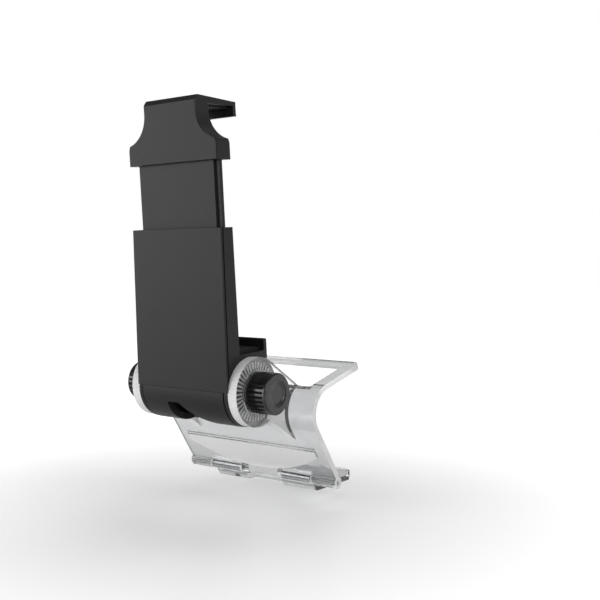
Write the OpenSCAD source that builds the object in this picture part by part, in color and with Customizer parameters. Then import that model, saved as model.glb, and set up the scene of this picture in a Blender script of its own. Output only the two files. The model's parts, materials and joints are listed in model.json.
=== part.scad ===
// Clip that holds a phone above a game controller.
// A black spring clamp turns between two clear ears of a moulded cradle.
// The origin is the foremost point of the cradle's inner face, on the centre plane,
// where the controller's front edge seats. X runs along the hinge, Y points to the player.

/* [Cradle] */
// Half of the cradle's width
cradle_half_w = 30; // [26:0.5:34]
// Thickness of the moulded clear sheet
sheet_t = 1.8; // [1.4:0.1:2.4]
// Inner radius of the bend round the controller's front edge
bend_r = 7.3; // [6:0.1:9]
// Rise of the top frame towards the player, in degrees
top_rise = 14.3; // [8:0.1:20]
// Lean of the front plate from the vertical, in degrees
front_lean = 34; // [28:0.5:40]
// Length of the top frame from the bend to its rear edge
top_len = 20.2; // [17:0.1:26]
// Length of the front plate from the bend to the latch pin
front_len = 21.3; // [19:0.1:26]
// Width of the top frame's side strips
strip_w = 4.1; // [3:0.1:6]
// Width of the top frame's rear bar
rear_bar_w = 3; // [2:0.1:5]
// Radius of the top frame's rear corners
corner_r = 2.6; // [1:0.1:4]
// Half of the raised panel's width on the front plate
panel_half_w = 26.5; // [20:0.5:28]
// Height that the panel stands proud of the front plate
panel_rise = 0.45; // [0.2:0.05:0.8]
// Radius of the panel's curved lower edge
panel_arc_r = 47; // [40:1:60]
// Distance from the bend down to the panel's straight upper edge
panel_top = 8.4; // [7:0.1:10]
// Width of the moulded groove above the panel
groove_w = 0.6; // [0.3:0.1:1]
// Depth of that groove
groove_depth = 0.35; // [0.2:0.05:0.6]

/* [Ears and hinge] */
// Height of the clamp's hinge axis above the origin
hinge_up = 8; // [6:0.1:11]
// Distance of the hinge axis in front of the origin
hinge_out = 15.9; // [14.5:0.1:18]
// Tilt of the clamp from upright, towards the front, in degrees
clamp_tilt = 4.2; // [-6:0.1:12]
// Radius of the clear ear discs
ear_r = 10.2; // [9.6:0.1:10.4]
// Thickness of each ear
ear_t = 3.1; // [2.4:0.1:4]
// Downward slope of the web that joins an ear to the bend, in degrees
web_drop = 32; // [28:1:36]
// Distance of the web's lower edge from the hinge axis
web_under = 4.6; // [3.5:0.1:6]
// Number of ratchet teeth round an ear and round a clamp ring
teeth = 40; // [24:2:48]
// Depth of a ratchet tooth
tooth_depth = 0.4; // [0.2:0.05:0.5]
// Inner radius of the ratchet teeth
tooth_in_r = 6; // [5.4:0.1:6.6]
// Outer radius of the ratchet teeth
tooth_out_r = 8.8; // [8:0.1:9]

/* [Barrel and lower jaw] */
// Radius of the hinge barrel
barrel_r = 10.5; // [10.4:0.1:11.2]
// Half of the barrel's length
barrel_half_l = 17.65; // [16.8:0.05:18.4]
// Radius of the hollow inside the barrel
hollow_r = 8.4; // [7.8:0.1:8.8]
// Half of the hollow's length
hollow_half_l = 8.8; // [8:0.1:9.4]
// Width of the ring groove near each end of the barrel
ring_groove_w = 0.4; // [0.2:0.1:0.8]
// Height of the phone's lower edge above the hinge axis
phone_low = 12.1; // [11.8:0.1:13]
// Distance of the phone's back in front of the hinge axis
phone_back = 3.2; // [2.6:0.1:3.8]
// Thickness of the ledge under the phone
ledge_t = 2.5; // [2:0.1:3]
// Depth of the jaws from the phone's back to the lips
jaw_depth = 10.5; // [8:0.1:12]
// Thickness of the jaw lips
lip_t = 1.3; // [1:0.1:2]
// Height that a jaw lip reaches past the pad
lip_reach = 2.5; // [1.5:0.1:3.5]
// Thickness of the rubber pads
pad_t = 1; // [0.6:0.1:1.2]

/* [Sleeve] */
// Height of the sleeve's top above the hinge axis
sleeve_top = 48.1; // [44:0.1:54]
// Half of the sleeve's width at its top
sleeve_half_w = 17.7; // [17.2:0.1:18.2]
// Half of the sleeve's width at the barrel
sleeve_foot_half_w = 18.1; // [17.9:0.1:18.6]
// Lean of the sleeve's front face from the clamp's upright, in degrees
sleeve_lean = 1.55; // [1:0.05:2]
// Radius of the sleeve's long front edges
sleeve_edge_r = 0.3; // [0.3:0.1:1]
// Width of the seam behind each long front edge
edge_seam_w = 0.5; // [0.3:0.1:0.7]
// Depth of that seam
edge_seam_depth = 0.35; // [0.2:0.05:0.5]
// Height of the cover's lower edge above the hinge axis
cover_foot = 1.4; // [0.5:0.1:3]
// Thickness of the cover over the barrel
cover_skin = 1.5; // [1.2:0.1:1.8]
// Thickness of the sleeve's back wall
back_wall_t = 0.95; // [0.8:0.05:1.1]

/* [Slider and upper jaw] */
// Half of the width of the slider's raised front
slider_half_w = 14.5; // [13:0.1:14.8]
// Width of the recessed rail on each side of the slider
rail_w = 1.4; // [1:0.1:1.5]
// Step from the slider's front down to its rails
rail_step = 0.8; // [0.5:0.1:1]
// Thickness of the slider
slider_t = 2.1; // [1.8:0.1:2.2]
// Opening between the jaw pads, which is the width of the held phone
jaw_open = 70.8; // [66:0.1:76]
// Travel of the upper jaw down from this opening
close_travel = 18.8; // [12:0.1:18.8]
// Travel of the upper jaw up from this opening
open_travel = 9; // [4:0.5:9]
// Half of the width of the jaw's skirt
skirt_half_w = 17.5; // [17:0.1:18]
// Height of the skirt from its lower edge to the flare
skirt_h = 5.6; // [5:0.1:7]
// Half of the width of the jaw's neck
neck_half_w = 10.2; // [9:0.1:11]
// Radius of the concave flare between skirt and neck
flare_r = 9.15; // [8.6:0.05:9.8]
// Height of the neck above the flare, up to the pad
neck_h = 1.1; // [0.8:0.1:2]
// Thickness of the jaw's roof at its rear
roof_t = 1.2; // [1:0.1:1.6]
// Distance of the jaw's front face from the slider's front
jaw_proud = 1.7; // [1.2:0.1:2]
// Thickness of the pad under the roof
roof_pad_t = 0.5; // [0.3:0.1:0.8]

/* [Knobs and screws] */
// Outer radius of a thumb knob
knob_r = 6.1; // [5.6:0.1:6.3]
// Length of a thumb knob
knob_l = 6.8; // [5.5:0.1:8]
// Number of flutes round a knob
flutes = 28; // [20:1:32]
// Radius of the cutter that makes a flute
flute_r = 0.36; // [0.25:0.01:0.4]
// Radius of the recess in a knob's end
cap_r = 3.9; // [3.4:0.1:4.2]
// Radius of the knob's screw
screw_r = 2; // [1.8:0.1:2.2]
// Width of the captive nut across its flats
nut_flats = 7; // [6.5:0.1:7.5]
// Thickness of the captive nut
nut_t = 3.2; // [2.6:0.1:3.4]

/* [Latch flap] */
// Radius of the hinge knuckles
knuckle_r = 1.9; // [1.7:0.1:2.2]
// Radius of the hinge pins
pin_r = 0.75; // [0.6:0.05:0.9]
// Distance of the pin axis from the front plate's inner face
pin_out = 1.6; // [1.2:0.1:1.9]
// Half of the width of the flap
flap_half_w = 20.3; // [17:0.1:22]
// Half of the gap left for the charging plug
port_half_w = 7.4; // [6.5:0.1:8.5]
// Thickness of the flap
flap_t = 1.8; // [1.4:0.1:2.2]
// Height of the pin axis above the middle of the flap's plate
flap_drop = 3.5; // [3.2:0.1:4.5]
// Length of the flap's plate behind its leg
flap_len = 21; // [16:0.5:26]
// Height of the hook at the flap's rear edge
hook_h = 1.6; // [1:0.1:2.5]

/* [Springs] */
// Radius of a closing spring, to the outside of its coil
spring_r = 0.8; // [0.7:0.05:0.85]
// Radius of the spring wire
wire_r = 0.2; // [0.15:0.01:0.25]
// Distance of each spring from the centre plane
spring_x = 8; // [6:0.5:10]
// Turns of each spring
spring_turns = 22; // [14:1:26]
// Height of the lower spring pegs above the ledge
peg_foot = 3; // [2:0.1:5]
// Height of the slider's spring pegs above the slider's lower end
peg_reach = 21.8; // [16:0.1:24]

/* [Hidden] */
$fn = 64;

// Clearances
run_gap = 0.15;
seat_gap = 0.1;
slide_gap = 0.2;
turn_gap = 0.3;
screw_fit = 0.06;
pin_fit = 0.05;
over = 1;

// Colours as the parts look
black_plastic = [0.27, 0.27, 0.27];
dark_plastic = [0.15, 0.15, 0.15];
rubber_black = [0.1, 0.1, 0.1];
clear_plastic = [0.88, 0.92, 0.94, 0.45];
steel = [0.7, 0.7, 0.72];

// Levels of the clamp, measured from the hinge axis
ledge_top = phone_low - pad_t;
ledge_low = ledge_top - ledge_t;
pad_face = -phone_back;
wall_rear = pad_face - pad_t;
wall_front = wall_rear - back_wall_t;
slider_rear = wall_front - run_gap;
slider_front = slider_rear - slider_t;
channel_front = slider_front - slide_gap;
channel_half_w = slider_half_w + rail_w + slide_gap;
wall_half_w = channel_half_w - seat_gap;
skin_inner = -barrel_r + cover_skin;
side_rear = wall_rear - seat_gap;
recess_top = ledge_top + seat_gap;
pad_margin = 3;
pad_corner = 2;
pad_inset = 2;
side_cube = 1;
tab_size = [0.7, 0.6, 3];
tab_places_up = [0.45, 0.8];
lip_face = pad_face + jaw_depth;
jaw_rear = lip_face + lip_t;

// Levels of the slider and the upper jaw
slider_low = ledge_top + turn_gap + close_travel;
slider_foot_h = 4;
rail_overlap = 3;
stop_low = slider_low + slider_foot_h + open_travel + turn_gap;
phone_high = phone_low + jaw_open;
roof_under = phone_high + roof_pad_t;
flare_mid = phone_high - neck_h;
flare_land = 0.1;
skirt_top = flare_mid - flare_r - flare_land;
skirt_low = skirt_top - skirt_h + flare_land;
jaw_front = slider_front - jaw_proud;
jaw_back = pad_face - turn_gap;
roof_rise = 1.1;
roof_bevel = 1.3;
slider_high = skirt_top;
shoulder_cut = 0.8;
jaw_chamfer = 0.35;
roof_edge = 0.4;
jaw_screw_r = 0.9;
jaw_head_r = 1.6;
jaw_head_t = 0.9;
jaw_screw_x = 6.5;
jaw_screw_up = 2.8;
jaw_screw_l = 3.6;
jaw_slot_w = 0.4;

// Places along the hinge
ear_in = barrel_half_l + run_gap;
ear_out = ear_in + ear_t;
knob_in = ear_out + seat_gap;
knob_out = knob_in + knob_l;
ring_edge = 1.1;
ring_t = 1.5;
tooth_share = 0.5;
tooth_gap_share = 0.55;
ring_crest = barrel_half_l;
ring_in = ring_crest - tooth_depth - ring_t;
ring_margin = 0.2;
ring_r = tooth_out_r + ring_margin;
nut_in = ring_in - nut_t;
boss_margin = 1.1;
boss_r = knob_r + boss_margin;
boss_t = 0.7;
boss_h = 0.35;
head_r = 2.9;
head_t = 1.6;
nut_sides = 6;
cap_t = 0.5;
cap_sink = 0.15;
knob_chamfer = 0.5;
cap_seat = knob_out - cap_t - cap_sink;
flute_land = 0.4;
flute_end = knob_out - knob_chamfer - flute_land;
screw_back = 1.2;
screw_end = hollow_half_l + screw_back;

// Springs and their pegs
peg_r = 0.45;
peg_low = ledge_top + peg_foot;
peg_high = slider_low + peg_reach;
peg_room = 1.6;
spring_room = 0.6;
spring_slot_w = 2 * spring_r + spring_room;
wire_sides = 4;
wire_turn = 45;
steps_per_turn = 8;
slot_floor = 0.4;
spring_slot_depth = slider_t - slot_floor;
spring_mid = slider_rear - spring_slot_depth / 2;

// Slot in the barrel's lower front
slot_angle = -140;
slot_cut = 6;
slot_left = -6.5;
slot_top_right = -1.9;
slot_low_right = 7.1;
slot_top = -4;
slot_knee = 4.4;
slot_low = 9;

// Latch hinge
outer_knuckle = flap_half_w + slide_gap;
plate_gap = 0.35;
plate_low = front_len - knuckle_r - plate_gap;
pin_recess = 0.7;
knuckle_flutes = 9;
knuckle_flute_r = 0.2;
knuckle_band = 0.9;
flute_first = 112;
flute_sweep = 150;
pin_grip = 1.4;
pin_inner = port_half_w + pin_grip;
leg_lean = 36;
leg_len = flap_drop / cos(leg_lean);
leg_back = leg_len * sin(leg_lean);
flap_corner_r = 3;
strip_grip = 0.3;
seam_step = 0.02;
window_low = -2.2;
window_corner = 1;
notch_depth = 3.2;

// Frames of the clamp, the top frame and the front plate
module in_clamp() {
    translate([0, -hinge_out, hinge_up]) rotate([clamp_tilt, 0, 0]) children();
}

module on_top() {
    translate([0, bend_r - bend_r * sin(top_rise), bend_r * cos(top_rise)])
        rotate([top_rise, 0, 0]) children();
}

module on_front() {
    translate([0, bend_r - bend_r * cos(front_lean), -bend_r * sin(front_lean)])
        rotate([front_lean - 90, 0, 0]) children();
}

module at_pin() {
    on_front() translate([0, front_len, -pin_out]) rotate([90 - front_lean, 0, 0]) children();
}

// Extrudes an outline of Y and Z along X, centred on the middle plane
module across(width) {
    rotate([90, 0, 90]) translate([0, 0, -width / 2]) linear_extrude(width) children();
}

// Extrudes an outline of X and Z along Y, from one depth to another
module through(from, to) {
    translate([0, to, 0]) rotate([90, 0, 0]) linear_extrude(to - from) children();
}

// A cylinder along X between two places, on either side
module shaft(side, from, to, r) {
    translate([side * (from + to) / 2, 0, 0])
        rotate([0, 90, 0]) cylinder(r = r, h = to - from, center = true);
}

// A box given by its half width, its depth and its height range
module slab(half, from, to, low, high) {
    translate([-half, from, low]) cube([2 * half, to - from, high - low]);
}

module rounded_rect(half, low, high, r) {
    translate([-half + r, low]) square([2 * (half - r), high - low]);
    translate([-half, low + r]) square([2 * half, high - low - 2 * r]);
    for (x = [-half + r, half - r], y = [low + r, high - r]) translate([x, y]) circle(r);
}

// Radial teeth: bars that stand on a ring or are cut into a face
module tooth_bars(side, from, to, share) {
    pitch = 2 * PI * tooth_in_r / teeth;
    for (i = [0 : teeth - 1])
        rotate([i * 360 / teeth, 0, 0])
            translate([side * (from + to) / 2, (tooth_in_r + tooth_out_r) / 2, 0])
                cube([to - from, tooth_out_r - tooth_in_r, share * pitch], center = true);
}

// Front cover: the sleeve's front and side walls
function sleeve_front_at(w) = -barrel_r + w * tan(sleeve_lean);
function sleeve_half_at(w) = sleeve_foot_half_w
    + (sleeve_half_w - sleeve_foot_half_w) * w / sleeve_top;

module sleeve_outline() {
    hull() for (side = [-1, 1], w = [cover_foot, sleeve_top - seat_gap]) {
        translate([
            side * (sleeve_half_at(w) - sleeve_edge_r),
            sleeve_front_at(w) + sleeve_edge_r,
            w
        ]) cylinder(r = sleeve_edge_r, h = seat_gap, $fn = 32);
        translate([side * (sleeve_half_at(w) - side_cube / 2), side_rear - side_cube / 2, w])
            translate([-side_cube / 2, -side_cube / 2, 0]) cube([side_cube, side_cube, seat_gap]);
    }
}

module front_cover() {
    color(black_plastic) in_clamp() {
        difference() {
            sleeve_outline();
            slab(channel_half_w, channel_front, over, recess_top - over, sleeve_top + over);
            slab(sleeve_foot_half_w + over, skin_inner, over, -over, recess_top);
            for (side = [-1, 1]) {
                shaft(side, barrel_half_l, sleeve_foot_half_w + over, ear_r + turn_gap);
                edge_seam(side);
                tab_places() cube(tab_size + [seat_gap, seat_gap, seat_gap] * 2, center = true);
            }
        }
        for (side = [-1, 1]) stop_rib(side);
    }
}

// Seam along the sleeve, behind its front edge
module edge_seam(side) {
    middle = sleeve_top / 2;
    taper = atan((sleeve_foot_half_w - sleeve_half_w) / sleeve_top);
    translate([
        side * sleeve_half_at(middle),
        sleeve_front_at(middle) + sleeve_edge_r + seat_gap + edge_seam_w / 2,
        middle
    ]) rotate([-sleeve_lean, -side * taper, 0])
        cube([2 * edge_seam_depth, edge_seam_w, sleeve_top + 2 * over], center = true);
}

// Ribs that close the sleeve's mouth beside the slider and stop its foot
module stop_rib(side) {
    width = rail_w;
    translate([
        side * (channel_half_w - width / 2 + seat_gap / 2),
        (channel_front + slider_front + rail_step - run_gap) / 2,
        (stop_low + sleeve_top) / 2
    ]) cube([
        width + seat_gap,
        slider_front + rail_step - run_gap - channel_front,
        sleeve_top - stop_low
    ], center = true);
}

// Snap tabs on the back wall's edges
module tab_places() {
    for (side = [-1, 1], w = tab_places_up)
        translate([
            side * (wall_half_w + tab_size[0] / 2),
            wall_rear - back_wall_t / 2 - tab_size[1] / 4,
            w * sleeve_top
        ]) children();
}

// Hinge body: barrel, back wall, ledge and lower lip
module hinge_body() {
    color(black_plastic) in_clamp() difference() {
        union() {
            for (side = [-1, 1]) barrel_end(side);
            slab(barrel_half_l, skin_inner, wall_rear, 0, ledge_top);
            slab(barrel_half_l, wall_front, jaw_rear, ledge_low, ledge_top);
            slab(wall_half_w, wall_front, wall_rear, ledge_low, sleeve_top);
            slab(barrel_half_l, lip_face, jaw_rear, ledge_low, phone_low + lip_reach - lip_t / 2);
            translate([0, (lip_face + jaw_rear) / 2, phone_low + lip_reach - lip_t / 2])
                rotate([0, 90, 0]) cylinder(d = lip_t, h = 2 * barrel_half_l, center = true);
            tab_places() cube(tab_size, center = true);
            for (x = [-spring_x, spring_x]) low_peg(x);
        }
        slab(sleeve_foot_half_w, -barrel_r - over, skin_inner, cover_foot - seat_gap, ledge_top + over);
        for (side = [-1, 1]) {
            shaft(side, -seat_gap, hollow_half_l, hollow_r);
            shaft(side, ring_in, barrel_half_l + over, ring_r + seat_gap);
            translate([side * (nut_in + ring_in) / 2, 0, 0])
                rotate([0, 90, 0]) hexagon(nut_flats + seat_gap, nut_t + seat_gap);
            shaft(side, hollow_half_l - over, ring_in, screw_r + turn_gap);
        }
        barrel_slot();
    }
}

module barrel_end(side) {
    difference() {
        union() {
            shaft(side, 0, barrel_half_l - ring_edge, barrel_r);
            shaft(side, 0, barrel_half_l, barrel_r - seat_gap);
        }
        translate([side * (barrel_half_l - ring_edge - ring_groove_w / 2), 0, 0])
            ring_groove();
    }
}

module ring_groove() {
    rotate([0, 90, 0]) difference() {
        cylinder(r = barrel_r + over, h = ring_groove_w, center = true);
        cylinder(r = barrel_r - ring_groove_w, h = ring_groove_w + over, center = true);
    }
}

module barrel_slot() {
    rotate([slot_angle + 90, 0, 0]) translate([0, 0, -barrel_r - over])
        linear_extrude(slot_cut) polygon([
            [slot_left, slot_top],
            [slot_top_right, slot_top],
            [slot_low_right, slot_knee],
            [slot_low_right, slot_low],
            [slot_left, slot_low]
        ]);
}

module low_peg(x) {
    through_peg(x, peg_low, spring_mid - spring_r, wall_front + seat_gap);
}

module through_peg(x, w, from, to) {
    translate([x, (from + to) / 2, w])
        rotate([90, 0, 0]) cylinder(r = peg_r, h = to - from, center = true, $fn = 24);
}

// Rubber pads of the clamp
module back_pad() {
    color(rubber_black) in_clamp() through(wall_rear, pad_face)
        rounded_rect(wall_half_w - pad_margin, phone_low + pad_margin,
            sleeve_top - pad_corner, pad_corner);
}

module lower_jaw_pad() {
    color(rubber_black) in_clamp()
        slab(barrel_half_l - pad_inset, pad_face - seat_gap, lip_face - seat_gap, ledge_top, phone_low);
}

module upper_jaw_pad() {
    color(rubber_black) in_clamp()
        slab(neck_half_w - pad_inset, pad_face, lip_face - seat_gap, phone_high, roof_under);
}

// Toothed rings and nuts in the barrel's ends
module ratchet_ring(side) {
    color(dark_plastic) in_clamp() difference() {
        union() {
            shaft(side, ring_in, ring_in + ring_t, ring_r);
            tooth_bars(side, ring_in + ring_t - seat_gap, ring_crest, tooth_share);
        }
        shaft(side, ring_in - over, ring_crest + over, screw_r + turn_gap);
    }
}

module hexagon(flats, h) {
    cylinder(d = flats / cos(180 / nut_sides), h = h, center = true, $fn = nut_sides);
}

module nut(side) {
    color(steel) in_clamp() difference() {
        translate([side * (nut_in + ring_in) / 2, 0, 0])
            rotate([0, 90, 0]) hexagon(nut_flats, nut_t);
        shaft(side, nut_in - over, ring_in + over, screw_r + screw_fit);
    }
}

// Closing springs, from the back wall's pegs to the slider's pegs
function coil_point(x, low, high, t) = [
    x + (spring_r - wire_r) * cos(360 * spring_turns * t),
    spring_mid + (spring_r - wire_r) * sin(360 * spring_turns * t),
    low + (high - low) * t
];

module spring(x) {
    sides = wire_sides;
    steps = steps_per_turn * spring_turns;
    low = peg_low + peg_r + wire_r;
    high = peg_high - peg_r - wire_r;
    rings = [
        for (i = [0 : steps], k = [0 : sides - 1])
            coil_point(x, low, high, i / steps)
                + wire_r * wire_side(360 * spring_turns * i / steps, wire_turn + k * 360 / sides)
    ];
    walls = [
        for (i = [0 : steps - 1], k = [0 : sides - 1], half = [0, 1])
            let (a = i * sides + k, b = i * sides + (k + 1) % sides)
                half == 0 ? [a, b, b + sides] : [a, b + sides, a + sides]
    ];
    far = steps * sides * [1, 1, 1];
    ends = [[2, 1, 0], [3, 2, 0], far + [0, 1, 2], far + [0, 2, 3]];
    color(steel) in_clamp() polyhedron(rings, concat(walls, ends));
}

function wire_side(turn, around) =
    cos(around) * [cos(turn), sin(turn), 0] + sin(around) * [0, 0, 1];

// Slider with recessed rails, a wide stop foot and two spring slots
module slider() {
    color(black_plastic) in_clamp() difference() {
        union() {
            slab(slider_half_w, slider_front, slider_rear, slider_low, slider_high);
            slab(slider_half_w + rail_w, slider_front + rail_step, slider_rear,
                slider_low, skirt_low + rail_overlap);
            slab(slider_half_w + rail_w, slider_front, slider_rear,
                slider_low, slider_low + slider_foot_h);
        }
        for (x = [-spring_x, spring_x])
            translate([x, 0, 0])
                slab(spring_slot_w / 2, slider_rear - spring_slot_depth, over,
                    slider_low - over, peg_high + peg_room);
        jaw_screw_places() cylinder(r = jaw_screw_r, h = 4 * jaw_screw_l, center = true);
    }
    color(black_plastic) in_clamp() for (x = [-spring_x, spring_x])
        through_peg(x, peg_high, slider_rear - spring_slot_depth - seat_gap, slider_rear);
}

// Upper jaw: skirt, flared neck, roof and lip
module jaw_outline() {
    difference() {
        translate([-skirt_half_w, skirt_low]) square([2 * skirt_half_w, roof_under]);
        for (side = [-1, 1]) {
            translate([side * (neck_half_w + flare_r), flare_mid]) circle(flare_r);
            translate([side > 0 ? neck_half_w : -neck_half_w - 2 * flare_r, flare_mid])
                square([2 * flare_r, roof_under]);
            translate([side * skirt_half_w, skirt_top]) rotate(45)
                square(shoulder_cut * sqrt(2), center = true);
        }
    }
}

module jaw_side() {
    polygon([
        [jaw_front, skirt_low],
        [jaw_front, roof_under + roof_t - roof_edge],
        [jaw_front + roof_bevel, roof_under + roof_t + roof_rise],
        [jaw_rear, roof_under + roof_t],
        [jaw_rear, phone_high - lip_reach],
        [lip_face, phone_high - lip_reach],
        [lip_face, roof_under],
        [jaw_back, roof_under],
        [jaw_back, skirt_low]
    ]);
}

module upper_jaw() {
    taper = 1 - jaw_chamfer / skirt_half_w;
    middle = (skirt_low + roof_under) / 2;
    color(black_plastic) in_clamp() difference() {
        intersection() {
            across(2 * skirt_half_w + over) jaw_side();
            union() {
                through(jaw_front + jaw_chamfer, jaw_rear) jaw_outline();
                translate([0, jaw_front + jaw_chamfer, middle]) rotate([90, 0, 0])
                    linear_extrude(jaw_chamfer, scale = taper) translate([0, -middle]) jaw_outline();
            }
        }
        slab(slider_half_w + seat_gap, slider_front - seat_gap, slider_rear + seat_gap,
            skirt_low - over, slider_high + seat_gap);
        slab(slider_half_w + rail_w + seat_gap, slider_front + rail_step - seat_gap,
            slider_rear + seat_gap, skirt_low - over, skirt_low + rail_overlap + seat_gap);
        jaw_screw_places() {
            cylinder(r = jaw_screw_r, h = 2 * jaw_screw_l, center = true);
            cylinder(r = jaw_head_r + seat_gap, h = 2 * jaw_head_t);
        }
    }
}

// Two screws hold the jaw on the slider, from behind
module jaw_screw_places() {
    for (x = [-jaw_screw_x, jaw_screw_x])
        translate([x, jaw_back - jaw_head_t, skirt_low + jaw_screw_up]) rotate([-90, 0, 0]) children();
}

module jaw_screws() {
    color(steel) in_clamp() jaw_screw_places() difference() {
        union() {
            translate([0, 0, -jaw_screw_l + seat_gap])
                cylinder(r = jaw_screw_r - seat_gap / 2, h = jaw_screw_l);
            cylinder(r = jaw_head_r, h = jaw_head_t - seat_gap);
        }
        for (turn = [0, 90]) rotate(turn)
            translate([0, 0, jaw_head_t]) cube([2 * jaw_screw_r, jaw_slot_w, jaw_head_t], center = true);
    }
}

// Thumb knobs with flutes, end caps and screws
module knob(side) {
    color(black_plastic) in_clamp() difference() {
        knob_blank(side);
        for (i = [0 : flutes - 1]) rotate([i * 360 / flutes, 0, 0])
            translate([0, knob_r, 0]) shaft(side, knob_in - over, flute_end, flute_r, $fn = 16);
    }
}

module knob_blank(side) {
    rotate([0, side * 90, 0]) rotate_extrude($fn = 96) polygon([
        [screw_r + seat_gap / 2, knob_in],
        [knob_r, knob_in],
        [knob_r, knob_out - knob_chamfer],
        [knob_r - knob_chamfer, knob_out],
        [cap_r + seat_gap / 2, knob_out],
        [cap_r + seat_gap / 2, cap_seat],
        [head_r + seat_gap / 2, cap_seat],
        [head_r + seat_gap / 2, cap_seat - head_t],
        [screw_r + seat_gap / 2, cap_seat - head_t]
    ]);
}

module knob_cap(side) {
    color(dark_plastic) in_clamp()
        shaft(side, cap_seat, knob_out - cap_sink, cap_r);
}

module knob_screw(side) {
    color(steel) in_clamp() {
        shaft(side, screw_end, cap_seat - seat_gap, screw_r);
        shaft(side, cap_seat - head_t, cap_seat, head_r);
    }
}

// Clear cradle: a bent sheet with a window, a panel, two ears and two knuckles
module side_strip(angle, length, low, high) {
    translate([bend_r, 0]) rotate(angle) translate([-strip_grip, low])
        square([length + strip_grip, high - low]);
}

// The space inside the bend, grown into the sheet, with which the ears are trimmed
module seat_outline() {
    far = 3 * (top_len + front_len);
    middle = bend_r + sheet_t / 2;
    translate([bend_r, 0]) {
        circle(middle, $fn = 128);
        polygon([
            [0, 0],
            far * [cos(top_rise), sin(top_rise)],
            far * [sin(front_lean), -cos(front_lean)]
        ]);
    }
    side_strip(top_rise, far, -over, middle);
    side_strip(front_lean - 90, far, -middle, over);
}

module sheet_outline() {
    outer = bend_r + sheet_t;
    translate([bend_r, 0]) intersection() {
        difference() {
            circle(outer, $fn = 128);
            circle(bend_r, $fn = 128);
        }
        polygon([
            [0, 0],
            2 * outer * [-sin(top_rise), cos(top_rise)],
            [-2 * outer, 0],
            2 * outer * [-cos(front_lean), -sin(front_lean)]
        ]);
    }
    side_strip(top_rise, top_len, bend_r + seam_step, outer - seam_step);
    side_strip(front_lean - 90, front_len + strip_grip, seam_step - outer, -bend_r - seam_step);
}

module top_window() {
    on_top() linear_extrude(3 * sheet_t, center = true) {
        rounded_rect(cradle_half_w - strip_w, window_low, top_len - rear_bar_w, window_corner);
        for (side = [-1, 1]) difference() {
            translate([side * cradle_half_w, top_len]) square(2 * corner_r, center = true);
            translate([side * (cradle_half_w - corner_r), top_len - corner_r]) circle(corner_r);
        }
    }
}

module front_panel() {
    on_front() mirror([0, 0, 1]) translate([0, 0, sheet_t / 2])
        linear_extrude(sheet_t / 2 + panel_rise) intersection() {
            translate([0, plate_low - panel_arc_r]) circle(panel_arc_r, $fn = 180);
            translate([-panel_half_w, panel_top]) square([2 * panel_half_w, plate_low]);
        }
}

module front_cuts() {
    on_front() {
        translate([-panel_half_w, panel_top - 2 * groove_w, -sheet_t - over])
            cube([2 * panel_half_w, groove_w, groove_depth + over]);
        translate([-outer_knuckle, plate_low, -2 * knuckle_r - over])
            cube([2 * outer_knuckle, front_len, 2 * (knuckle_r + over)]);
    }
}

module ear(side) {
    translate([side * (ear_in + ear_out) / 2, 0, 0]) across(ear_t) {
        translate([-hinge_out, hinge_up]) {
            circle(ear_r, $fn = 128);
            rotate(-web_drop) translate([0, -web_under]) square([2 * hinge_out, ear_r + web_under]);
        }
    }
}

module ear_details(side) {
    translate([0, -hinge_out, hinge_up]) {
        shaft(side, ear_in - over, ear_out + over, screw_r + screw_fit);
        tooth_bars(side, ear_in - over, ear_in + tooth_depth, tooth_gap_share);
    }
}

module knuckle_flutes(side) {
    at_pin() for (i = [0 : knuckle_flutes - 1])
        rotate([front_lean + flute_first + i * flute_sweep / (knuckle_flutes - 1), 0, 0])
            translate([0, knuckle_r, 0])
                shaft(side, outer_knuckle + knuckle_band, cradle_half_w - knuckle_band,
                    knuckle_flute_r, $fn = 12);
}

module cradle() {
    color(clear_plastic) difference() {
        union() {
            across(2 * cradle_half_w) sheet_outline();
            front_panel();
            difference() {
                for (side = [-1, 1]) ear(side);
                across(2 * cradle_half_w) seat_outline();
            }
            for (side = [-1, 1]) {
                translate([0, -hinge_out, hinge_up]) difference() {
                    shaft(side, ear_out - seat_gap, ear_out + boss_h, boss_r);
                    shaft(side, ear_out - over, ear_out + over, boss_r - boss_t);
                }
                at_pin() shaft(side, outer_knuckle - over / 2, cradle_half_w, knuckle_r);
            }
        }
        for (side = [-1, 1]) {
            ear_details(side);
            at_pin() shaft(side, outer_knuckle - over, cradle_half_w + over, pin_r);
            knuckle_flutes(side);
        }
        front_cuts();
        top_window();
    }
}

// Latch pins and flap
module hinge_pin(side) {
    color(steel) at_pin() shaft(side, pin_inner, cradle_half_w - pin_recess, pin_r);
}

module flap_plan() {
    difference() {
        union() {
            rounded_rect(flap_half_w, 0, leg_back + flap_len, flap_corner_r);
            translate([-flap_half_w, -knuckle_r]) square([2 * flap_half_w, flap_len / 2]);
        }
        translate([-port_half_w, -over - knuckle_r])
            square([2 * port_half_w, leg_back + notch_depth + over + knuckle_r]);
    }
}

module flap_side() {
    circle(knuckle_r, $fn = 48);
    rotate(-90 + leg_lean) translate([0, -flap_t / 2]) square([leg_len, flap_t]);
    translate([leg_back, -flap_drop]) circle(flap_t / 2 - seam_step, $fn = 32);
    translate([leg_back, -flap_drop - flap_t / 2]) square([flap_len, flap_t]);
    translate([leg_back + flap_len - flap_t, -flap_drop])
        square([flap_t, flap_t / 4 + hook_h]);
}

module latch_flap() {
    color(clear_plastic) at_pin() difference() {
        intersection() {
            across(2 * flap_half_w) flap_side();
            translate([0, 0, -flap_drop - 2 * flap_t]) linear_extrude(4 * flap_drop) flap_plan();
        }
        for (side = [-1, 1]) shaft(side, pin_inner - seat_gap, flap_half_w + over, pin_r + pin_fit);
    }
}

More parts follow.
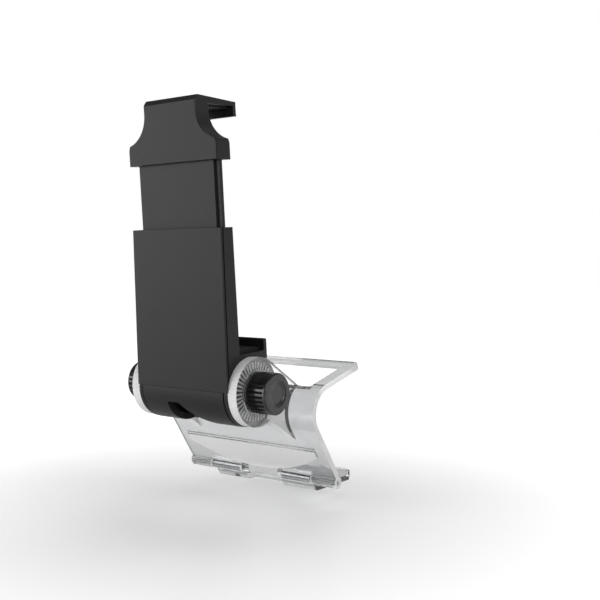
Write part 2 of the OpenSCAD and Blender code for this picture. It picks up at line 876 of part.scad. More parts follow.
front_cover();
hinge_body();
back_pad();
lower_jaw_pad();
ratchet_ring(-1);  // ratchet_ring_left
ratchet_ring(1);  // ratchet_ring_right
nut(-1);  // nut_left
nut(1);  // nut_right
spring(-spring_x);  // spring_left
spring(spring_x);  // spring_right
slider();
upper_jaw();
upper_jaw_pad();
jaw_screws();
knob(-1);  // knob_left
knob(1);  // knob_right
knob_cap(-1);  // knob_cap_left
knob_cap(1);  // knob_cap_right
knob_screw(-1);  // knob_screw_left
knob_screw(1);  // knob_screw_right
cradle();
hinge_pin(-1);  // hinge_pin_left
hinge_pin(1);  // hinge_pin_right
latch_flap();
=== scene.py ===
"""Dresses the controller phone clip.

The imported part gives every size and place. This script rounds the moulded edges,
winds the springs in round wire, and gives each piece its real finish.
"""

import json
import math

import bmesh
import bpy
from bpy.props import FloatProperty, FloatVectorProperty, PointerProperty
from mathutils import Matrix, Vector

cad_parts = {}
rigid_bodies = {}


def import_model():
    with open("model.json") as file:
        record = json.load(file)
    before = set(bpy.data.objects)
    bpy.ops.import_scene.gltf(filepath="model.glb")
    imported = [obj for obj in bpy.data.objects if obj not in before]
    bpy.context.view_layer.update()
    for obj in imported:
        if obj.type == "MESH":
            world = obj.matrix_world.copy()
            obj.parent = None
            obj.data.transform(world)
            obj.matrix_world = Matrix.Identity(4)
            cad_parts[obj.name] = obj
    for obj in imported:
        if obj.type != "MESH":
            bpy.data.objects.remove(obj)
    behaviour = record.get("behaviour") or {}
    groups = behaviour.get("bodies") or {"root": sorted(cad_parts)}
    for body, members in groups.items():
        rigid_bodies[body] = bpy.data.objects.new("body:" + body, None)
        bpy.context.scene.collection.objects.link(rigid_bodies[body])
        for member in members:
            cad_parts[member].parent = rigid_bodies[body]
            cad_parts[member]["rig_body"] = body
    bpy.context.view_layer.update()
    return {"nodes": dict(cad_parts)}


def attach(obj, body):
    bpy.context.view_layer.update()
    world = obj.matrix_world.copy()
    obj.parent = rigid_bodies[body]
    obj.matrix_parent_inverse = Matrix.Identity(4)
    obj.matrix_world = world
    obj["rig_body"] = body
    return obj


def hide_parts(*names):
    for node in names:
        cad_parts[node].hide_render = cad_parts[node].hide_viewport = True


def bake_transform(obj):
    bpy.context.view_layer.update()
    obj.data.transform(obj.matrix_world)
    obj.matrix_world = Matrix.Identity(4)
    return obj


bl_info = {
    "name": "Controller Phone Clip",
    "version": (1, 0, 0),
    "blender": (4, 5, 0),
    "location": "View3D > Sidebar > Phone Clip",
    "description": "Rounds, details and finishes the packed phone clip",
    "category": "Object",
}

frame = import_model()

MM = 0.001
RIGHT_ANGLE = math.pi / 2

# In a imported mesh, points closer than this are one, and faces flatter than this join
SAME_PLACE = 0.002 * MM
FLAT_ANGLE = math.radians(0.6)

# How far the clamp leans at rest, and the axis that it turns on
CLAMP_TILT = math.radians(4.2)
HINGE = Vector((0.0, -15.9, 8.0)) * MM

# Where the cover's lower edge meets the barrel, measured from the hinge axis
FOOT_BAND = (1.1 * MM, 1.6 * MM)
SKIN_INNER = -8.9 * MM

# The corner where the jaw's flare meets its skirt, and how far it is drawn out
SHOULDER_UP = 72.55 * MM
SHOULDER_BAND = 0.3 * MM
SHOULDER_X = (16.2 * MM, 16.8 * MM)
SHOULDER_FILL = 0.5 * MM

# The clear cradle's front plate, its raised panel, its ears and their ring of teeth
FRONT_LEAN = math.radians(34.0)
BEND_R = 7.3 * MM
PLATE_OUT = Vector((0.0, -math.cos(FRONT_LEAN), -math.sin(FRONT_LEAN)))
PLATE_START = Vector(
    (0.0, BEND_R * (1 - math.cos(FRONT_LEAN)), -BEND_R * math.sin(FRONT_LEAN)))
PANEL_OUT = 2.1 * MM
SIDE_X = 29.8 * MM
EAR_R = 10.2 * MM
EAR_X = (17.9 * MM, 20.8 * MM)
EAR_MARGIN = 0.2 * MM
RIM_BAND = 0.15 * MM
TOOTH_R = (5.9 * MM, 8.9 * MM)
TOOTH_X = (17.85 * MM, 18.3 * MM)

# Fine ridges in one turn of an ear's rim
KNURLS = 150

# Material slots of the cradle. The glow slot and the rim slot are painted highlight: white that
# stands in for light glowing through the clear sheet and catching the ears' rims
CLEAR, PAINTED_GLOW, KNURLED_RIM_HIGHLIGHT, MATT_PANEL, POLISHED_EAR = range(5)

# A thumb knob: the radius outside its flutes, and the ring and dish of its end cap
KNOB_LAND_R = 5.85 * MM
CAP_RING = 0.45 * MM
CAP_SINK = 0.25 * MM

# Closing springs, on the clamp: place, coil and wire radii, and the pegs that hold them
SPRING_X = 8.0 * MM
SPRING_DEPTH = -6.15 * MM
SPRING_R = 0.6 * MM
WIRE_R = 0.2 * MM
PEG_R = 0.45 * MM
PEG_HEIGHTS = (14.1 * MM, 52.0 * MM)
SPRING_TURNS = 22
STEPS_PER_TURN = 20
EYE_TURN = math.radians(330)
EYE_STEPS = 28

# The camera's place and the way that it looks
CAMERA_PLACE = Vector((183.64, -217.89, 44.75)) * MM
CAMERA_AIM = Vector((-0.5906, 0.8061, -0.0384))


# Colours are written as sRGB hex values, as a painter would pick them
def linear(hex_colour):
    """Turns an sRGB hex value into the linear colour that the shaders use."""
    value = hex_colour.lstrip("#")
    channels = [int(value[i:i + 2], 16) / 255 for i in (0, 2, 4)]
    return tuple(
        c / 12.92 if c <= 0.04045 else ((c + 0.055) / 1.055) ** 2.4 for c in channels
    ) + (1.0,)


def colour_property(name, description, hex_colour):
    return FloatVectorProperty(
        name=name, description=description, subtype="COLOR",
        size=4, min=0.0, max=1.0, default=linear(hex_colour),
    )


def length_property(name, description, millimetres):
    return FloatProperty(
        name=name, description=description, default=millimetres * MM,
        min=0.0, subtype="DISTANCE", unit="LENGTH", precision=5,
    )


class ClipFinish(bpy.types.PropertyGroup):
    """Colours of the clip's materials."""
    shell: colour_property("Shell", "Satin black of the clamp's outer mouldings", "#1E1E1F")
    slider: colour_property("Slider", "Deeper black of the sliding tongue", "#1D1D1E")
    knob: colour_property("Knobs", "Black of the two thumb knobs", "#1C1C1D")
    rubber: colour_property("Pads", "Black of the rubber pads", "#151515")
    clear: colour_property("Clear plastic", "Tint of the moulded cradle", "#C1C2C3")


class ClipEdges(bpy.types.PropertyGroup):
    """Sizes of the moulded edges."""
    shell_round: length_property("Shell edges", "Rounding of the clamp's outer edges", 0.35)
    clear_round: length_property("Cradle edges", "Rounding of the clear mouldings' edges", 0.25)
    knob_round: length_property("Knob edges", "Rounding of the knobs' flutes and rims", 0.16)


class ClipStage(bpy.types.PropertyGroup):
    """Sizes of the floor and the camera's lens."""
    floor_level: length_property("Floor", "Distance of the floor below the origin", 32.6)
    floor_size: length_property("Floor size", "Width of the pale floor", 6000.0)
    lens: FloatProperty(
        name="Lens", description="Focal length for a 36 mm sensor",
        default=53.87, min=10.0, max=200.0, unit="CAMERA",
    )


# Materials
def add(tree, kind, settings=(), links=()):
    """Adds a node, sets its values and joins its inputs to other nodes' sockets."""
    node = tree.nodes.new(kind)
    for key, value in dict(settings).items():
        if isinstance(key, str) and hasattr(node, key):
            setattr(node, key, value)
        else:
            node.inputs[key].default_value = value
    for socket, source in dict(links).items():
        tree.links.new(source, node.inputs[socket])
    return node


def new_material(name):
    """A node material with an output only; returns the material, its tree and the output."""
    material = bpy.data.materials.new(name)
    material.use_nodes = True
    tree = material.node_tree
    tree.nodes.clear()
    output = add(tree, "ShaderNodeOutputMaterial")
    return material, tree, output


def finish_with(obj, material):
    """Gives an object one material, in place of any that it has."""
    obj.data.materials.clear()
    obj.data.materials.append(material)


def moulded_plastic(name, colour, roughness, grain_mm, depth_mm, specular=0.5):
    """Injection-moulded plastic with a spark-eroded grain that spreads the highlights.

    The real grain is near 0.05 mm. It is drawn coarser, so that it still shows in a
    picture of the whole clip. Slow flow marks, 14 mm apart, keep large faces alive.
    """
    material, tree, output = new_material(name)
    place = add(tree, "ShaderNodeTexCoord").outputs["Object"]
    grain = add(tree, "ShaderNodeTexNoise",
                {"Scale": 1 / (grain_mm * MM), "Detail": 2.0, "Roughness": 0.6},
                {"Vector": place})
    flow = add(tree, "ShaderNodeTexNoise",
               {"Scale": 1 / (14 * MM), "Detail": 3.0, "Roughness": 0.5}, {"Vector": place})
    tone = add(tree, "ShaderNodeMapRange",
               {"From Min": 0.3, "From Max": 0.7, "To Min": 0.93, "To Max": 1.07},
               {"Value": flow.outputs["Fac"]})
    tinted = add(tree, "ShaderNodeMix",
                 {"data_type": "RGBA", "blend_type": "MULTIPLY", 0: 1.0, 6: tuple(colour)},
                 {7: tone.outputs["Result"]})
    rough = add(tree, "ShaderNodeMapRange",
                {"From Min": 0.35, "From Max": 0.65,
                 "To Min": roughness - 0.04, "To Max": roughness + 0.04},
                {"Value": grain.outputs["Fac"]})
    bump = add(tree, "ShaderNodeBump", {"Strength": 0.35, "Distance": depth_mm * MM},
               {"Height": grain.outputs["Fac"]})
    shader = add(tree, "ShaderNodeBsdfPrincipled",
                 {"IOR": 1.53, "Specular IOR Level": specular},
                 {"Base Color": tinted.outputs[2], "Roughness": rough.outputs["Result"],
                  "Normal": bump.outputs["Normal"]})
    tree.links.new(shader.outputs["BSDF"], output.inputs["Surface"])
    return material


def clear_polycarbonate(name, colour):
    """Clear moulded polycarbonate: sharp refractions, faint flow ripples, handling haze."""
    material, tree, output = new_material(name)
    place = add(tree, "ShaderNodeTexCoord").outputs["Object"]
    ripple = add(tree, "ShaderNodeTexNoise",
                 {"Scale": 1 / (5 * MM), "Detail": 2.0}, {"Vector": place})
    bump = add(tree, "ShaderNodeBump", {"Strength": 0.25, "Distance": 0.05 * MM},
               {"Height": ripple.outputs["Fac"]})
    haze = add(tree, "ShaderNodeMapRange",
               {"From Min": 0.3, "From Max": 0.7, "To Min": 0.02, "To Max": 0.06},
               {"Value": ripple.outputs["Fac"]})
    shader = add(tree, "ShaderNodeBsdfPrincipled",
                 {"Base Color": tuple(colour), "IOR": 1.585, "Transmission Weight": 0.96},
                 {"Roughness": haze.outputs["Result"], "Normal": bump.outputs["Normal"]})
    tree.links.new(shader.outputs["BSDF"], output.inputs["Surface"])
    return material


def matt_and_glow_polycarbonate(name, hex_colour, roughness, transmission, knurls=0):
    """White polycarbonate drawn matt, so that it scatters light.

    On the clear cradle's cut edges, teeth, lands and ear rims the white is painted highlight,
    standing in for light that glows through the sheet. The real matt finish is near 0.03 mm and is
    drawn coarser, at 0.4 mm, to show as a faint mottle. With knurls, fine ridges round the hinge
    axis give the ears hatched rims, darker in the ridges' grooves: painted shade.
    """
    material, tree, output = new_material(name)
    place = add(tree, "ShaderNodeTexCoord").outputs["Object"]
    grain = add(tree, "ShaderNodeTexNoise",
                {"Scale": 1 / (0.4 * MM), "Detail": 2.0}, {"Vector": place})
    height = grain.outputs["Fac"]
    if knurls:
        axes = add(tree, "ShaderNodeSeparateXYZ", {}, {0: add(
            tree, "ShaderNodeVectorMath", {"operation": "SUBTRACT", 1: tuple(HINGE)},
            {0: place}).outputs[0]})
        turn = add(tree, "ShaderNodeMath", {"operation": "ARCTAN2"},
                   {0: axes.outputs["Y"], 1: axes.outputs["Z"]})
        ridge = add(tree, "ShaderNodeMath", {"operation": "SINE"}, {0: add(
            tree, "ShaderNodeMath", {"operation": "MULTIPLY", 1: float(knurls)},
            {0: turn.outputs[0]}).outputs[0]})
        height = add(tree, "ShaderNodeMath", {"operation": "ADD"},
                     {0: ridge.outputs[0], 1: height}).outputs[0]
    # Darker where the surface lies lower: a random mottle with the grain, and painted shade in the
    # knurls' grooves
    shade = add(tree, "ShaderNodeMapRange",
                {"From Min": -0.6, "From Max": 0.9, "To Min": 0.72, "To Max": 1.0},
                {"Value": height})
    tinted = add(tree, "ShaderNodeMix",
                 {"data_type": "RGBA", "blend_type": "MULTIPLY", 0: 1.0, 6: linear(hex_colour)},
                 {7: shade.outputs["Result"]})
    bump = add(tree, "ShaderNodeBump", {"Strength": 0.6, "Distance": 0.1 * MM},
               {"Height": height})
    shader = add(tree, "ShaderNodeBsdfPrincipled",
                 {"IOR": 1.585, "Roughness": roughness, "Transmission Weight": transmission},
                 {"Base Color": tinted.outputs[2], "Normal": bump.outputs["Normal"]})
    tree.links.new(shader.outputs["BSDF"], output.inputs["Surface"])
    return material


def soft_rubber(name, colour):
    """Moulded silicone rubber: matt, with a fine grain that takes no highlight.

    The grain is drawn at 0.25 mm, coarser than the real 0.05 mm, so that it shows.
    """
    material, tree, output = new_material(name)
    place = add(tree, "ShaderNodeTexCoord").outputs["Object"]
    grain = add(tree, "ShaderNodeTexNoise",
                {"Scale": 1 / (0.25 * MM), "Detail": 3.0}, {"Vector": place})
    bump = add(tree, "ShaderNodeBump", {"Strength": 0.5, "Distance": 0.03 * MM},
               {"Height": grain.outputs["Fac"]})
    rough = add(tree, "ShaderNodeMapRange", {"To Min": 0.72, "To Max": 0.88},
                {"Value": grain.outputs["Fac"]})
    shader = add(tree, "ShaderNodeBsdfPrincipled",
                 {"Base Color": tuple(colour), "IOR": 1.41, "Specular IOR Level": 0.3},
                 {"Roughness": rough.outputs["Result"], "Normal": bump.outputs["Normal"]})
    tree.links.new(shader.outputs["BSDF"], output.inputs["Surface"])
    return material


def plated_steel(name, hex_colour, roughness):
    """Plated or drawn steel: soft bright highlights broken by fine turning marks.

    The marks are drawn at 0.3 mm, coarser than the real 0.1 mm, so that they show.
    """
    material, tree, output = new_material(name)
    place = add(tree, "ShaderNodeTexCoord").outputs["Object"]
    marks = add(tree, "ShaderNodeTexNoise",
                {"Scale": 1 / (0.3 * MM), "Detail": 4.0}, {"Vector": place})
    rough = add(tree, "ShaderNodeMapRange",
                {"To Min": roughness - 0.08, "To Max": roughness + 0.08},
                {"Value": marks.outputs["Fac"]})
    shader = add(tree, "ShaderNodeBsdfPrincipled",
                 {"Base Color": linear(hex_colour), "Metallic": 1.0},
                 {"Roughness": rough.outputs["Result"]})
    tree.links.new(shader.outputs["BSDF"], output.inputs["Surface"])
    return material


# Modelling helpers
def deselect():
    """Leaves edit mode with no object selected."""
    if bpy.context.mode != "OBJECT":
        bpy.ops.object.mode_set(mode="OBJECT")
    bpy.ops.object.select_all(action="DESELECT")


def only(obj):
    """Selects one object and makes it active."""
    deselect()
    obj.select_set(True)
    bpy.context.view_layer.objects.active = obj


def open_mesh(obj, kind):
    """Enters edit mode with nothing selected, to select corners, edges or faces."""
    only(obj)
    bpy.ops.object.mode_set(mode="EDIT")
    bpy.ops.mesh.select_mode(type=kind)
    bpy.ops.mesh.select_all(action="DESELECT")
    return bmesh.from_edit_mesh(obj.data)


def apply_modifiers(obj):
    """Applies an object's modifiers in their order."""
    only(obj)
    for modifier in list(obj.modifiers):
        bpy.ops.object.modifier_apply(modifier=modifier.name)


def merged_copy(node, name):
    """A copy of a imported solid, with its loose triangles joined into clean faces."""
    source = frame["nodes"][node]
    copy = bpy.data.objects.new(name, source.data.copy())
    bpy.context.scene.collection.objects.link(copy)
    only(copy)
    bpy.ops.object.mode_set(mode="EDIT")
    bpy.ops.mesh.select_all(action="SELECT")
    bpy.ops.mesh.remove_doubles(threshold=SAME_PLACE)
    bpy.ops.mesh.dissolve_limited(angle_limit=FLAT_ANGLE)
    bpy.ops.mesh.normals_make_consistent(inside=False)
    bpy.ops.object.mode_set(mode="OBJECT")
    return copy


def select_edges(obj, keep, sharper_than):
    """Selects the edges where two faces meet at more than an angle and that pass a test."""
    mesh = open_mesh(obj, "EDGE")
    for edge in mesh.edges:
        if len(edge.link_faces) == 2 and edge.calc_face_angle(0.0) > math.radians(sharper_than):
            edge.select_set(keep([vertex.co for vertex in edge.verts]))
    mesh.select_flush_mode()
    bmesh.update_edit_mesh(obj.data)


def crisp_shading(obj, angle=34.0):
    """Smooth curves and flat faces: normals follow the large faces, not the roundings."""
    only(obj)
    bpy.ops.object.shade_smooth_by_angle(angle=math.radians(angle))
    weighted = obj.modifiers.new("Flat faces", "WEIGHTED_NORMAL")
    weighted.keep_sharp = True
    weighted.weight = 80
    apply_modifiers(obj)


def rounded_copy(node, name, width, segments=2, angle=30.0, keep=None, reshape=None):
    """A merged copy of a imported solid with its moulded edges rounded."""
    copy = merged_copy(node, name)
    if reshape:
        reshape(copy)
    select_edges(copy, keep or (lambda ends: True), angle)
    bpy.ops.mesh.bevel(offset=width, segments=segments, profile=0.5, affect="EDGES",
                       clamp_overlap=True)
    bpy.ops.object.mode_set(mode="OBJECT")
    crisp_shading(copy)
    return copy


def clamp_place():
    """The move from the upright clamp at the origin to its tilted place."""
    return Matrix.Translation(HINGE) @ Matrix.Rotation(CLAMP_TILT, 4, "X")


def in_clamp(point):
    """A point's place on the clamp, measured from the hinge axis before its tilt."""
    return Matrix.Rotation(-CLAMP_TILT, 3, "X") @ (point - HINGE)


def stand_for(piece, node, material, stretch=None):
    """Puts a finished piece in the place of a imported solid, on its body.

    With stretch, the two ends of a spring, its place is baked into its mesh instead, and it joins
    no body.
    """
    finish_with(piece, material)
    if stretch:
        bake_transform(piece)
    else:
        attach(piece, frame["nodes"][node]["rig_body"])
    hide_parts(node)


def finish_of(context):
    """The colours and the edge sizes that the panel shows."""
    return context.scene.clip_finish, context.scene.clip_edges


# Operators, one for each group of pieces
class CLIP_OT_shells(bpy.types.Operator):
    """Rounds and finishes the black mouldings of the clamp"""
    bl_idname = "clip.shells"
    bl_label = "Clamp mouldings"

    def execute(self, context):
        finish, edges = finish_of(context)
        # The outer mouldings look even and dull, with broad soft highlights
        shell = moulded_plastic("ABS, satin spark-eroded", finish.shell, roughness=0.42,
                                grain_mm=0.35, depth_mm=0.012, specular=0.15)
        # The tongue is a little smoother, from sliding in its sleeve
        tongue = moulded_plastic("ABS, satin rubbed smooth", finish.slider, roughness=0.4,
                                 grain_mm=0.35, depth_mm=0.01, specular=0.15)
        for node in ("front_cover", "hinge_body", "upper_jaw"):
            reshape = self.fill_shoulders if node == "upper_jaw" else None
            piece = rounded_copy(node, node + "_moulding", edges.shell_round,
                                 keep=self.not_at_foot, reshape=reshape)
            stand_for(piece, node, shell)
        stand_for(rounded_copy("slider", "slider_tongue", edges.shell_round / 2), "slider", tongue)
        return {"FINISHED"}

    def fill_shoulders(self, jaw):
        """Draws the corner between flare and skirt out into one smooth shoulder."""
        low, high = SHOULDER_X
        for side in (-1, 1):
            mesh = open_mesh(jaw, "VERT")
            for vertex in mesh.verts:
                place = in_clamp(vertex.co)
                at_corner = abs(place.z - SHOULDER_UP) < SHOULDER_BAND
                if at_corner and low < side * place.x < high:
                    vertex.select_set(True)
            mesh.select_flush_mode()
            bmesh.update_edit_mesh(jaw.data)
            bpy.ops.transform.translate(value=(side * SHOULDER_FILL, 0, 0))
            bpy.ops.object.mode_set(mode="OBJECT")

    def not_at_foot(self, ends):
        """Leaves the joint between the cover and the barrel sharp, so that it hardly shows."""
        low, high = FOOT_BAND
        places = [in_clamp(end) for end in ends]
        return not all(low < place.z < high and place.y < SKIN_INNER for place in places)


class CLIP_OT_knobs(bpy.types.Operator):
    """Rounds and finishes the thumb knobs and their caps"""
    bl_idname = "clip.knobs"
    bl_label = "Thumb knobs"

    def execute(self, context):
        finish, edges = finish_of(context)
        # The knobs shine more than the clamp, with a clear light line on each rib
        knob = moulded_plastic("ABS, semi-gloss", finish.knob, roughness=0.14,
                               grain_mm=0.35, depth_mm=0.006, specular=0.38)
        for side in ("left", "right"):
            thumb_knob = rounded_copy(f"knob_{side}", f"thumb_knob_{side}", edges.knob_round,
                                      segments=3, angle=25.0, keep=self.on_land)
            stand_for(thumb_knob, f"knob_{side}", knob)
            cap = merged_copy(f"knob_cap_{side}", f"end_cap_{side}")
            self.dish(cap)
            stand_for(cap, f"knob_cap_{side}", knob)
        return {"FINISHED"}

    def on_land(self, ends):
        """The edges of the knob's ribs, at its full radius."""
        return all((end - HINGE).yz.length > KNOB_LAND_R for end in ends)

    def dish(self, cap):
        """Sinks the cap's outer face into a shallow dish inside a narrow ring."""
        mesh = open_mesh(cap, "FACE")
        outer = max(mesh.faces, key=lambda face: (
            abs(face.calc_center_median().x), face.calc_area()))
        outer.select_set(True)
        bmesh.update_edit_mesh(cap.data)
        bpy.ops.mesh.inset(thickness=CAP_RING)
        bpy.ops.mesh.inset(thickness=CAP_SINK, depth=-CAP_SINK)
        bpy.ops.mesh.inset(thickness=3 * CAP_SINK, depth=-CAP_SINK / 4)
        bpy.ops.object.mode_set(mode="OBJECT")
        crisp_shading(cap, angle=60.0)


class CLIP_OT_cradle(bpy.types.Operator):
    """Rounds and finishes the clear cradle and its latch flap"""
    bl_idname = "clip.cradle"
    bl_label = "Clear cradle"

    def execute(self, context):
        finish, edges = finish_of(context)
        # Clear grey sheet: what lies behind it shows, a little darker
        clear = clear_polycarbonate("Polycarbonate, clear moulded", finish.clear)
        cradle = rounded_copy("cradle", "cradle_moulding", edges.clear_round, keep=self.outer_edge)
        stand_for(cradle, "cradle", clear)
        # In the order of the slots: cut edges, teeth and lands painted white as a glow of light
        # through the sheet, a rim painted white as a highlight and hatched, a milky panel, and
        # ears that show the teeth behind them without a tint
        for material in (
            matt_and_glow_polycarbonate("Polycarbonate, painted edge glow", "#FFFFFF",
                               roughness=0.4, transmission=0.45),
            matt_and_glow_polycarbonate("Polycarbonate, knurled rim, painted highlight", "#FFFFFF",
                               roughness=0.3, transmission=0.12, knurls=KNURLS),
            matt_and_glow_polycarbonate("Polycarbonate, matt panel", "#FBFBFB",
                               roughness=0.35, transmission=0.5),
            clear_polycarbonate("Polycarbonate, clear polished ear", linear("#F4F4F5")),
        ):
            cradle.data.materials.append(material)
        for face in cradle.data.polygons:
            face.material_index = self.finish_at(face.center, face.normal)
        stand_for(rounded_copy("latch_flap", "latch_moulding", edges.clear_round, angle=50.0),
                  "latch_flap", clear)
        return {"FINISHED"}

    def outer_edge(self, ends):
        """The sheet's side edges and the ears' rims, which a hand touches."""
        sides = all(abs(end.x) > SIDE_X for end in ends)
        rims = all(EAR_X[0] < abs(end.x) and abs((end - HINGE).yz.length - EAR_R) < 0.05 * MM
                   for end in ends)
        return sides or (rims and abs(ends[0].x - ends[1].x) < 0.01 * MM)

    def finish_at(self, place, normal):
        """The material slot of a face, from its middle and the way it faces."""
        # Painted highlight: cut edges, teeth, inner lands and web edges take the white glow slot
        if abs(place.x) > SIDE_X and abs(normal.x) > 0.6:
            return PAINTED_GLOW
        radius = (place - HINGE).yz.length
        if TOOTH_R[0] < radius < TOOTH_R[1] and TOOTH_X[0] < abs(place.x) < TOOTH_X[1]:
            return PAINTED_GLOW
        across_ear = EAR_X[0] - EAR_MARGIN < abs(place.x) < EAR_X[1] + EAR_MARGIN
        # Painted highlight: the band round each ear's rim takes the bright white rim slot
        if across_ear and abs(radius - EAR_R) < RIM_BAND and abs(normal.x) < 0.8:
            return KNURLED_RIM_HIGHLIGHT
        if across_ear:
            inner_land = abs(place.x) < TOOTH_X[1] and radius > TOOTH_R[1]
            web_edge = abs(normal.x) < 0.3 and radius > EAR_R
            return PAINTED_GLOW if inner_land or web_edge else POLISHED_EAR
        if (place - PLATE_START).dot(PLATE_OUT) > PANEL_OUT and normal.dot(PLATE_OUT) > 0.95:
            return MATT_PANEL
        return CLEAR


class CLIP_OT_soft_and_steel(bpy.types.Operator):
    """Finishes the rubber pads, toothed rings and steel fasteners"""
    bl_idname = "clip.soft_and_steel"
    bl_label = "Pads and steel"

    def execute(self, context):
        finish, _ = finish_of(context)
        # Dead matt black, darker than the mouldings round it
        rubber = soft_rubber("Silicone rubber, moulded", finish.rubber)
        # Slightly waxy black
        ring = moulded_plastic("Acetal, moulded", finish.slider, roughness=0.35,
                               grain_mm=0.4, depth_mm=0.01)
        # Pale grey metal with blurred reflections
        steel = plated_steel("Steel, zinc plated", "#B9BABD", roughness=0.3)
        for node in ("back_pad", "lower_jaw_pad", "upper_jaw_pad"):
            finish_with(frame["nodes"][node], rubber)
        for side in ("left", "right"):
            finish_with(frame["nodes"][f"ratchet_ring_{side}"], ring)
            for kind in ("nut", "knob_screw", "hinge_pin"):
                finish_with(frame["nodes"][f"{kind}_{side}"], steel)
        finish_with(frame["nodes"]["jaw_screws"], steel)
        return {"FINISHED"}


class CLIP_OT_springs(bpy.types.Operator):
    """Winds the two closing springs in round wire, with an eye at each end"""
    bl_idname = "clip.springs"
    bl_label = "Closing springs"

    def execute(self, context):
        # A little darker and sharper than the plated fasteners
        wire = plated_steel("Spring steel, drawn", "#A9AAAD", roughness=0.26)
        left = self.wind("closing_spring_left")
        right = left.copy()
        right.data = left.data.copy()
        right.name = "closing_spring_right"
        context.scene.collection.objects.link(right)
        for spring, side, x in ((left, "left", -SPRING_X), (right, "right", SPRING_X)):
            spring.data.transform(Matrix.Translation((x, SPRING_DEPTH, 0)))
            spring.data.transform(clamp_place())
            ends = [clamp_place() @ Vector((x, SPRING_DEPTH, end)) for end in self.coil_ends()]
            stand_for(spring, f"spring_{side}", wire, stretch=ends)
        return {"FINISHED"}

    def coil_ends(self):
        """The heights at which the coil starts and ends, clear of the two eyes."""
        reach = PEG_R + WIRE_R
        return PEG_HEIGHTS[0] + reach, PEG_HEIGHTS[1] - reach

    def wind(self, name):
        """One spring on the clamp's middle plane: a coil joined to its two eyes."""
        low, high = self.coil_ends()
        coil = self.wire_ring((SPRING_R, 0, low))
        coil.name = name
        screw = coil.modifiers.new("Coil", "SCREW")
        screw.screw_offset = (high - low) / SPRING_TURNS
        screw.iterations = SPRING_TURNS
        screw.steps = screw.render_steps = STEPS_PER_TURN
        screw.use_merge_vertices = False
        apply_modifiers(coil)
        eyes = [self.eye(low, PEG_HEIGHTS[0]), self.eye(high, PEG_HEIGHTS[1])]
        only(coil)
        for eye in eyes:
            eye.select_set(True)
        bpy.ops.object.join()
        bpy.ops.object.mode_set(mode="EDIT")
        bpy.ops.mesh.select_all(action="SELECT")
        bpy.ops.mesh.normals_make_consistent(inside=False)
        bpy.ops.object.mode_set(mode="OBJECT")
        bpy.ops.object.shade_smooth_by_angle(angle=math.radians(60))
        return coil

    def wire_ring(self, place):
        """The wire's round section, standing across the coil."""
        deselect()
        bpy.ops.mesh.primitive_circle_add(vertices=10, radius=WIRE_R, location=place,
                                          rotation=(RIGHT_ANGLE, 0, 0))
        bpy.ops.object.transform_apply(location=True, rotation=True, scale=True)
        return bpy.context.active_object

    def eye(self, start, peg):
        """A loop of wire round one peg, which runs on from the coil's end."""
        loop = self.wire_ring((0, 0, start))
        bpy.ops.object.mode_set(mode="EDIT")
        bpy.ops.mesh.select_all(action="SELECT")
        bpy.ops.transform.rotate(value=RIGHT_ANGLE, orient_axis="Z", center_override=(0, 0, start))
        bpy.ops.mesh.spin(steps=EYE_STEPS, angle=EYE_TURN, center=(0, 0, peg), axis=(0, 1, 0))
        bpy.ops.object.mode_set(mode="OBJECT")
        return loop


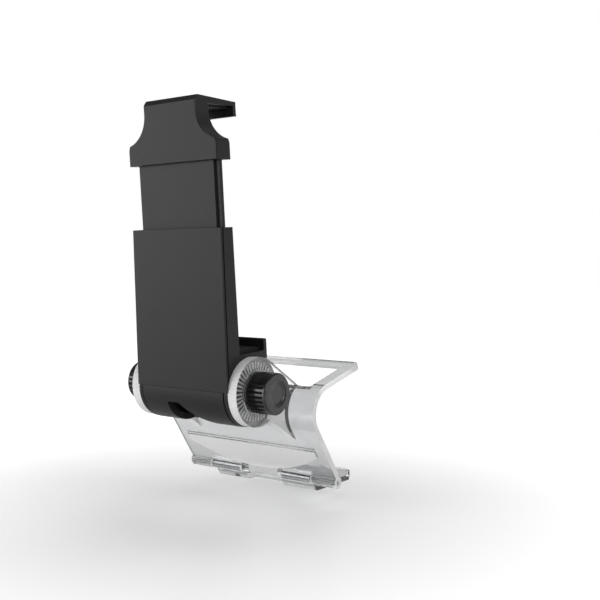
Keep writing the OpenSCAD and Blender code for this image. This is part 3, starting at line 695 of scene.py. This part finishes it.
class CLIP_OT_stage(bpy.types.Operator):
    """Lays the pale floor and sets the studio lamps, the world and the camera"""
    bl_idname = "clip.stage"
    bl_label = "Studio stage"

    def execute(self, context):
        sizes = context.scene.clip_stage
        self.floor(sizes)
        self.world(context.scene)
        self.lamps()
        self.camera(context.scene, sizes)
        context.scene.view_settings.view_transform = "Standard"
        return {"FINISHED"}

    def floor(self, sizes):
        """A white sheet that keeps the clip's shadow and brightens away from it.

        The glow shows to the eye and in reflections only, so it lights nothing.
        """
        deselect()
        bpy.ops.mesh.primitive_plane_add(size=sizes.floor_size,
                                         location=(0, 0, -sizes.floor_level))
        floor = bpy.context.active_object
        floor.name = "studio_floor"
        bpy.ops.object.transform_apply(location=True, rotation=True, scale=True)
        material, tree, output = new_material("Acrylic sheet, white satin")
        path = add(tree, "ShaderNodeLightPath")
        through = add(tree, "ShaderNodeMath", {"operation": "MAXIMUM"},
                      {0: path.outputs["Is Camera Ray"], 1: path.outputs["Is Transmission Ray"]})
        seen = add(tree, "ShaderNodeMath", {"operation": "MAXIMUM"},
                   {0: through.outputs[0], 1: path.outputs["Is Glossy Ray"]})
        place = add(tree, "ShaderNodeTexCoord").outputs["Object"]
        far = add(tree, "ShaderNodeVectorMath", {"operation": "LENGTH"}, {0: place})
        lift = add(tree, "ShaderNodeMapRange",
                   {"From Min": 0.05, "From Max": 0.16, "To Min": 0.16, "To Max": 0.62},
                   {"Value": far.outputs["Value"]})
        glow = add(tree, "ShaderNodeMath", {"operation": "MULTIPLY"},
                   {0: seen.outputs[0], 1: lift.outputs["Result"]})
        lit = add(tree, "ShaderNodeBsdfPrincipled",
                  {"Base Color": linear("#F4F4F4"), "Roughness": 0.35, "IOR": 1.49,
                   "Emission Color": linear("#FFFFFF")},
                  {"Emission Strength": glow.outputs[0]})
        tree.links.new(lit.outputs["BSDF"], output.inputs["Surface"])
        finish_with(floor, material)

    def world(self, scene):
        """A room that is plain white to the eye, and lights less from high up."""
        world = bpy.data.worlds.new("White studio")
        world.use_nodes = True
        scene.world = world
        tree = world.node_tree
        tree.nodes.clear()
        output = add(tree, "ShaderNodeOutputWorld")
        path = add(tree, "ShaderNodeLightPath")
        seen = add(tree, "ShaderNodeMath", {"operation": "MAXIMUM"},
                   {0: path.outputs["Is Camera Ray"], 1: path.outputs["Is Transmission Ray"]})
        height = add(tree, "ShaderNodeSeparateXYZ", {},
                     {0: add(tree, "ShaderNodeTexCoord").outputs["Generated"]})
        fade = add(tree, "ShaderNodeMapRange",
                   {"From Min": 0.15, "From Max": 0.7, "To Min": 0.85, "To Max": 0.15},
                   {"Value": height.outputs["Z"]})
        light = add(tree, "ShaderNodeBackground", {"Color": linear("#FFFFFF")},
                    {"Strength": fade.outputs["Result"]})
        white = add(tree, "ShaderNodeBackground", {"Color": linear("#FFFFFF"), "Strength": 1.0})
        mix = add(tree, "ShaderNodeMixShader", {}, {
            0: seen.outputs[0], 1: light.outputs[0], 2: white.outputs[0]})
        tree.links.new(mix.outputs[0], output.inputs["Surface"])

    def lamps(self):
        """Three square softboxes, each as place in mm, width in mm and power in watts."""
        target = Vector((0, 0, 20)) * MM
        for name, place, size, power in (
            ("Key softbox", (-430, -560, 10), 620, 4.6),
            ("Side softbox", (560, -60, 220), 380, 1.5),
            ("Top softbox", (0, 160, 620), 420, 0.7),
        ):
            lamp = bpy.data.lights.new(name, "AREA")
            lamp.shape = "SQUARE"
            lamp.size = size * MM
            lamp.energy = power
            holder = bpy.data.objects.new(name, lamp)
            bpy.context.scene.collection.objects.link(holder)
            holder.location = Vector(place) * MM
            holder.rotation_mode = "QUATERNION"
            holder.rotation_quaternion = (target - holder.location).to_track_quat("-Z", "Y")

    def camera(self, scene, sizes):
        """The viewpoint that was worked out from the photograph."""
        camera = bpy.data.cameras.new("Camera")
        camera.lens = sizes.lens
        camera.sensor_width = 36.0
        holder = bpy.data.objects.new("Camera", camera)
        scene.collection.objects.link(holder)
        holder.location = CAMERA_PLACE
        holder.rotation_mode = "QUATERNION"
        holder.rotation_quaternion = CAMERA_AIM.to_track_quat("-Z", "Y")
        camera.clip_start = 0.01
        camera.clip_end = 100.0
        scene.camera = holder


class CLIP_PT_panel(bpy.types.Panel):
    """Lists the clip's pieces in the 3D view's sidebar"""
    bl_idname = "CLIP_PT_panel"
    bl_label = "Phone Clip"
    bl_space_type = "VIEW_3D"
    bl_region_type = "UI"
    bl_category = "Phone Clip"

    def draw(self, context):
        layout = self.layout
        scene = context.scene
        for group in (scene.clip_finish, scene.clip_edges, scene.clip_stage):
            box = layout.box()
            for name in group.__annotations__:
                box.prop(group, name)
        for operator in OPERATORS:
            layout.operator(operator.bl_idname)


GROUPS = (ClipFinish, ClipEdges, ClipStage)
OPERATORS = (
    CLIP_OT_shells, CLIP_OT_knobs, CLIP_OT_cradle,
    CLIP_OT_soft_and_steel, CLIP_OT_springs, CLIP_OT_stage,
)


def register():
    for cls in (*GROUPS, *OPERATORS, CLIP_PT_panel):
        bpy.utils.register_class(cls)
    bpy.types.Scene.clip_finish = PointerProperty(type=ClipFinish)
    bpy.types.Scene.clip_edges = PointerProperty(type=ClipEdges)
    bpy.types.Scene.clip_stage = PointerProperty(type=ClipStage)


def unregister():
    del bpy.types.Scene.clip_stage
    del bpy.types.Scene.clip_edges
    del bpy.types.Scene.clip_finish
    for cls in reversed((*GROUPS, *OPERATORS, CLIP_PT_panel)):
        bpy.utils.unregister_class(cls)


def main():
    """Builds every piece in order."""
    register()
    bpy.ops.clip.shells()
    bpy.ops.clip.knobs()
    bpy.ops.clip.cradle()
    bpy.ops.clip.soft_and_steel()
    bpy.ops.clip.springs()
    bpy.ops.clip.stage()


if __name__ == "__main__":
    main()
